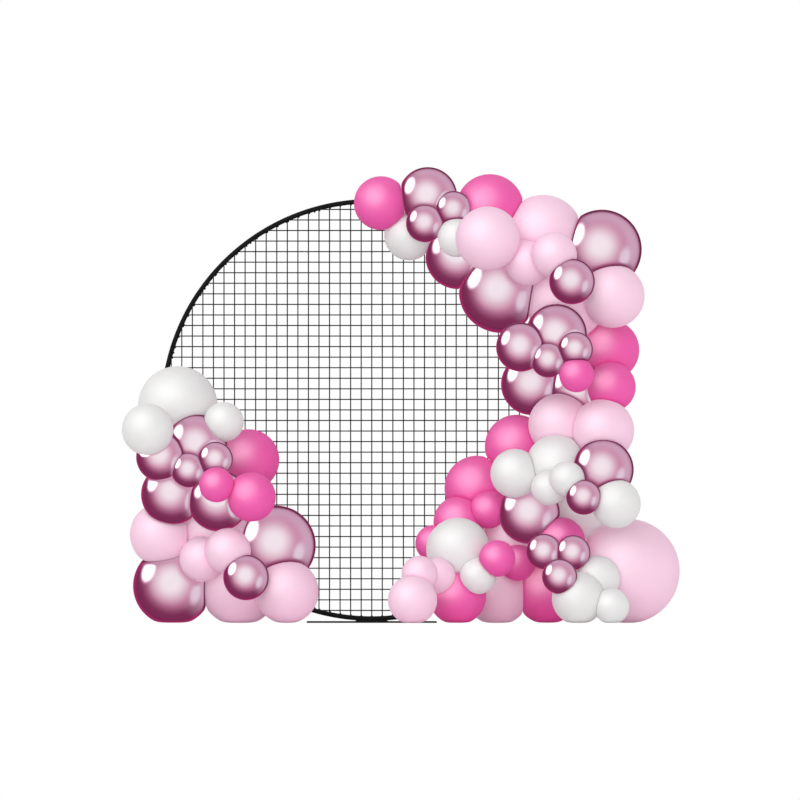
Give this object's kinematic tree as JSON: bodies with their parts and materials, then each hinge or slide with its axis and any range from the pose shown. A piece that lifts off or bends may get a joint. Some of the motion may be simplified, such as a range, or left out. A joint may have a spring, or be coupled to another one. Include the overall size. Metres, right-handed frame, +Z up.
{
  "type": "balloon garland",
  "caption": "Organic garland of round pink, white and mauve chrome balloons tied to the front of a free-standing round wire-mesh ring stand, as an event backdrop.",
  "frame": {"origin": "middle of the base plate's underside, in the plane of the ring", "axes": "+X to the right across the ring, -Y out of the front where the balloons are, +Z up; metres"},
  "size_m": [2.3627, 0.9269, 1.9378],
  "materials": {
    "black_powder_coat": "satin black powder coat on welded steel",
    "hot_pink_latex": "glossy opaque hot pink latex",
    "pale_pink_latex": "satin pale pink latex",
    "pearl_white_latex": "satin pearl white latex",
    "mauve_chrome_latex": "mirror-like mauve chrome latex"
  },
  "bodies": {
    "root": {"base_plate": "black_powder_coat", "lower_left_chrome_balloon_1": "mauve_chrome_latex", "lower_left_chrome_balloon_2": "mauve_chrome_latex", "lower_left_chrome_balloon_3": "mauve_chrome_latex", "lower_left_pale_pink_pair_1": "pale_pink_latex", "lower_left_pale_pink_pair_2": "pale_pink_latex", "lower_left_pale_pink_pair_3": "pale_pink_latex", "lower_right_chrome_balloon_1": "mauve_chrome_latex", "lower_right_chrome_pair_1": "mauve_chrome_latex", "lower_right_hot_pink_balloon_1": "hot_pink_latex", "lower_right_hot_pink_balloon_2": "hot_pink_latex", "lower_right_hot_pink_balloon_3": "hot_pink_latex", "lower_right_hot_pink_balloon_4": "hot_pink_latex", "lower_right_hot_pink_balloon_5": "hot_pink_latex", "lower_right_hot_pink_pair_1": "hot_pink_latex", "lower_right_pale_pink_balloon_1": "pale_pink_latex", "lower_right_pale_pink_balloon_2": "pale_pink_latex", "lower_right_pale_pink_pair_1": "pale_pink_latex", "lower_right_pale_pink_pair_2": "pale_pink_latex", "lower_right_white_balloon_1": "pearl_white_latex", "lower_right_white_pair_1": "pearl_white_latex", "lower_right_white_pair_2": "pearl_white_latex", "middle_hot_pink_balloon_1": "hot_pink_latex", "middle_hot_pink_pair_1": "hot_pink_latex", "middle_pale_pink_pair_1": "pale_pink_latex", "right_chrome_pair_1": "mauve_chrome_latex", "right_chrome_pair_2": "mauve_chrome_latex", "right_chrome_pair_3": "mauve_chrome_latex", "right_hot_pink_balloon_1": "hot_pink_latex", "right_hot_pink_pair_1": "hot_pink_latex", "ring_tube": "black_powder_coat", "top_chrome_balloon_1": "mauve_chrome_latex", "top_chrome_pair_1": "mauve_chrome_latex", "top_chrome_pair_2": "mauve_chrome_latex", "top_hot_pink_balloon_1": "hot_pink_latex", "top_hot_pink_balloon_2": "hot_pink_latex", "top_white_balloon_1": "pearl_white_latex", "top_white_balloon_2": "pearl_white_latex", "upper_left_chrome_pair_1": "mauve_chrome_latex", "upper_left_chrome_pair_2": "mauve_chrome_latex", "upper_left_chrome_pair_3": "mauve_chrome_latex", "upper_left_hot_pink_balloon_1": "hot_pink_latex", "upper_left_hot_pink_pair_1": "hot_pink_latex", "upper_left_white_balloon_1": "pearl_white_latex", "upper_left_white_balloon_2": "pearl_white_latex", "upper_left_white_balloon_3": "pearl_white_latex", "upper_right_chrome_balloon_1": "mauve_chrome_latex", "upper_right_chrome_balloon_2": "mauve_chrome_latex", "upper_right_pale_pink_balloon_1": "pale_pink_latex", "upper_right_pale_pink_balloon_2": "pale_pink_latex", "upper_right_pale_pink_pair_1": "pale_pink_latex", "upper_right_pale_pink_pair_2": "pale_pink_latex", "white_chrome_balloon_1": "mauve_chrome_latex", "white_chrome_balloon_2": "mauve_chrome_latex", "white_chrome_balloon_3": "mauve_chrome_latex", "white_white_balloon_1": "pearl_white_latex", "white_white_balloon_2": "pearl_white_latex", "white_white_pair_1": "pearl_white_latex", "white_white_pair_2": "pearl_white_latex", "wire_mesh": "black_powder_coat"}
  },
  "joints": []
}
